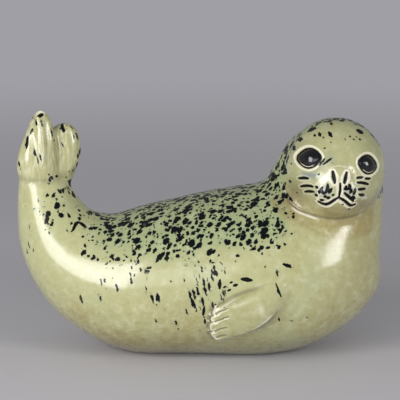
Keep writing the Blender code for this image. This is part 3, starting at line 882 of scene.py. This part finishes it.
# %% Large, medium and small spots, and dragged strokes
thick = glaze.mask("spots")
dragged = glaze.mask("streaks")
large, large_halo = spots(leaning(shaken, -0.3, (1, 1, 1.35)), 4.2 * MM, thick * 0.92, 0.28, 0.58, 0.0)
medium, medium_halo = spots(leaning(shaken, -0.2, (1, 1, 1.2)), 3.0 * MM, thick * 0.78, 0.24, 0.52, 0.31)
small, _ = spots(shaken, 2.2 * MM, thick * 0.5 + 0.015, 0.14, 0.4, 0.77)
streak, streak_halo = spots(leaning(shaken, 0.22, (0.9, 1, 3.0)), 2.7 * MM, dragged, 0.2, 0.42, 0.53)
pigment = large.most(medium).most(small).most(streak)
bleeding = large_halo.most(medium_halo).most(streak_halo * 1.3)
print("nodes for the spots:", len(glaze.tree.nodes))

# %% Colours of the glaze
CELADON = colour(186, 186, 138)
GREENER = colour(174, 182, 137)
TINTED = colour(158, 172, 126)
BROWNER = colour(162, 146, 94)
THIN_AND_HIGHLIGHT = colour(238, 232, 208)
POOLED_AND_SHADE = colour(116, 110, 80)
BLEED = colour(104, 128, 112)
BLUE = colour(118, 136, 148)
PIGMENT = colour(8, 13, 16)
EYE_BLACK = colour(8, 8, 14)
CLAY = colour(206, 192, 166)
print("warmest and greenest tones:", [round(v, 3) for v in (*BROWNER[:3], *TINTED[:3])])

# %% [markdown]
# The glaze is built up in layers, each with a share that says where it covers the ones below: slow changes
# of tone first, then the fine mottle, the runs on the tail, pooled and broken glaze with painted shade and
# painted highlights among them, and at last pigment, eyes and bare clay.

# %% The layers of the glaze
DRIFT_SCALE = 26.0
MOTTLE_SCALE = 190.0
RUN_SCALE = 700.0
CRACKLE_SCALE = 1100.0
INK_SCALE = 700.0
drift = glaze.noise(where, DRIFT_SCALE, 3.0)
mottle = glaze.noise(where, MOTTLE_SCALE, 4.0, 0.65)
run = glaze.noise(leaning(where, 0.0, (1, 1, 6)), RUN_SCALE, 3.0)
crackle = glaze.noise(leaning(where, 0.0, (14, 14, 1)), CRACKLE_SCALE, 2.0)
warm = glaze.mask("warm")
runs = glaze.mask("runs")
ink = glaze.step(glaze.mask("ink") + (glaze.noise(where, INK_SCALE, 2.0) - 0.5) * 0.42, 0.44, 0.56)
marked = pigment.most(ink)
eye = glaze.step(glaze.mask("eye"), 0.42, 0.58)
bare = glaze.mask("bare")
base = CELADON
for share, tone in (
    (glaze.step(drift, 0.5, 0.8) * 0.7, GREENER),
    (glaze.step(thick + (mottle - 0.5) * 0.8, 0.1, 1.0) * 0.75, TINTED),
    (warm * glaze.step(drift + mottle * 0.6, 1.02, 0.55) * 0.85, BROWNER),
    (glaze.step(mottle, 0.5, 0.72) * 0.22, THIN_AND_HIGHLIGHT),
    (glaze.step(mottle, 0.5, 0.3) * 0.2, BROWNER),
    (runs * glaze.step(run, 0.5, 0.66) * 0.36, THIN_AND_HIGHLIGHT),
    (runs * glaze.step(run, 0.5, 0.36) * 0.34, BROWNER),
    (warm * glaze.step(crackle, 0.56, 0.64) * 0.16, POOLED_AND_SHADE),
    # Pooled glaze in cuts, creases and hollows, and painted shade on the underside, the head, the cheeks and
    # the chin.
    (glaze.mask("pool_and_shade") * 0.75, POOLED_AND_SHADE),
    (glaze.mask("blue") * 0.8, BLUE),
    (bleeding * 0.34, BLEED),
    # Pale glaze where it breaks on edges, and painted highlights on the front flippers and the collar.
    (glaze.step(glaze.mask("cream_and_highlight") + (mottle - 0.5) * 0.25, 0.1, 0.8) * 0.9, THIN_AND_HIGHLIGHT),
    (marked, PIGMENT),
    (eye, EYE_BLACK),
    (bare, CLAY),
):
    base = glaze.blend(share, base, tone)
print("nodes in the layers:", len(glaze.tree.nodes))

# %% [markdown]
# The gloss is a clear coat over the coloured glaze. A very low, broad bump gives the slow waver that a
# glaze has in its reflections, and the pigment stands a hair proud of it.

# %% Gloss, waver and the finished material
WAVER_DEPTH = 0.25 * MM
WAVER_SCALE = 60.0
WAVER_STRENGTH = 0.35
PIGMENT_PROUD = 0.15
PIGMENT_MATT = 0.8
height = glaze.noise(where, WAVER_SCALE, 2.0) + pigment * PIGMENT_PROUD
inputs = {"Strength": WAVER_STRENGTH, "Distance": WAVER_DEPTH, "Height": height}
satin = glaze.step(mottle, 0.2, 0.8, 0.24, 0.34) * (1 - eye * 0.7).most(0.2)
for name, value in (
    ("Base Color", base),
    ("Roughness", satin + bare * 0.5),
    ("Coat Weight", (1 - bare) * (1 - marked * PIGMENT_MATT)),
    ("Normal", glaze.node("ShaderNodeBump", {}, inputs, "Normal")),
    ("Coat Roughness", 0.15),
    ("Coat IOR", 1.5),
    ("Specular IOR Level", 0.12),
):
    glaze.put(glaze.shader.inputs[name], value)
skin.data.materials.clear()
skin.data.materials.append(glaze.material)
skin.data.shade_smooth()
print("nodes in the finished glaze:", len(glaze.tree.nodes))

# %% Hand the piece to the frame
print("the finished piece:", size_of(skin))
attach(skin, "root")
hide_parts("seal")

# %% [markdown]
# ## A plain studio
#
# A wide sheet of pale paper lies under the figure. Far from the figure it is seen in one even grey, as a
# studio's backdrop is, and near the figure it shows the lamps' light and the figure's shadow. One soft box
# stands to the left, a wide weak one beside the camera, and a narrow one to the right, all low enough to
# show as long soft lights in the glaze.

# %% A wide sheet of paper
PAPER_SIZE = 24
bpy.ops.object.select_all(action="DESELECT")
bpy.ops.mesh.primitive_plane_add(size=PAPER_SIZE, location=(0, 0, 0))
paper = bpy.context.object
paper.name = "paper"
matt = Paint("paper")
matt.put(matt.shader.inputs["Base Color"], colour(208, 206, 212))
matt.put(matt.shader.inputs["Roughness"], 0.75)
print("paper:", PAPER_SIZE, "m wide")

# %% Its even grey far from the figure
NEAR_PAPER = 0.25
FAR_PAPER = 1.3
KINDS = ("Camera", "Glossy", "Transmission")
rays = [matt.node("ShaderNodeLightPath", {}, {}, f"Is {kind} Ray") for kind in KINDS]
spot_on_paper = matt.node("ShaderNodeTexCoord", {}, {}, "Object")
how_far = matt.node("ShaderNodeVectorMath", {"operation": "LENGTH"}, [spot_on_paper], "Value")
seen_far = rays[0].most(rays[1]).most(rays[2]) * matt.step(how_far, NEAR_PAPER, FAR_PAPER)
even_grey = matt.node("ShaderNodeEmission", {}, {"Color": colour(160, 159, 165)}, "Emission")
inputs = {0: seen_far, 1: Value(matt, matt.shader.outputs["BSDF"]), 2: even_grey}
surface = matt.node("ShaderNodeMixShader", {}, inputs, "Shader")
matt.put(matt.tree.nodes["Material Output"].inputs["Surface"], surface)
paper.data.materials.append(matt.material)
print("even grey from", FAR_PAPER, "m on")

# %% Three soft boxes
def soft_box(name, place, aim, width, height, watts):
    """A rectangular lamp that looks at a point."""
    lamp_data = bpy.data.lights.new(name, "AREA")
    lamp_data.shape = "RECTANGLE"
    lamp_data.size = width
    lamp_data.size_y = height
    lamp_data.energy = watts
    lamp = bpy.data.objects.new(name, lamp_data)
    lamp.location = place
    lamp.rotation_euler = (Vector(aim) - Vector(place)).to_track_quat("-Z", "Y").to_euler()
    bpy.context.scene.collection.objects.link(lamp)


LAMPS = (
    ("left_box", (-0.78, -0.82, 0.42), (0, 0, 0.07), 0.42, 0.75, 8.2),
    ("left_fill", (-0.5, -1.25, 0.38), (0, 0, 0.07), 0.9, 0.6, 3.7),
    ("right_box", (0.95, -0.8, 0.45), (0, 0, 0.08), 0.28, 0.6, 5.6),
)
for lamp_facts in LAMPS:
    soft_box(*lamp_facts)
print("lamps:", ", ".join(lamp_facts[0] for lamp_facts in LAMPS))

# %% The room's own light, and plain colours
ROOM_GREY = 0.86
ROOM_LIGHT = 0.28
world = bpy.data.worlds.new("room")
world.use_nodes = True
world.node_tree.nodes["Background"].inputs["Color"].default_value = (ROOM_GREY, ROOM_GREY, ROOM_GREY, 1)
world.node_tree.nodes["Background"].inputs["Strength"].default_value = ROOM_LIGHT
bpy.context.scene.world = world
bpy.context.scene.view_settings.view_transform = "Standard"
print("the room's light:", ROOM_LIGHT)
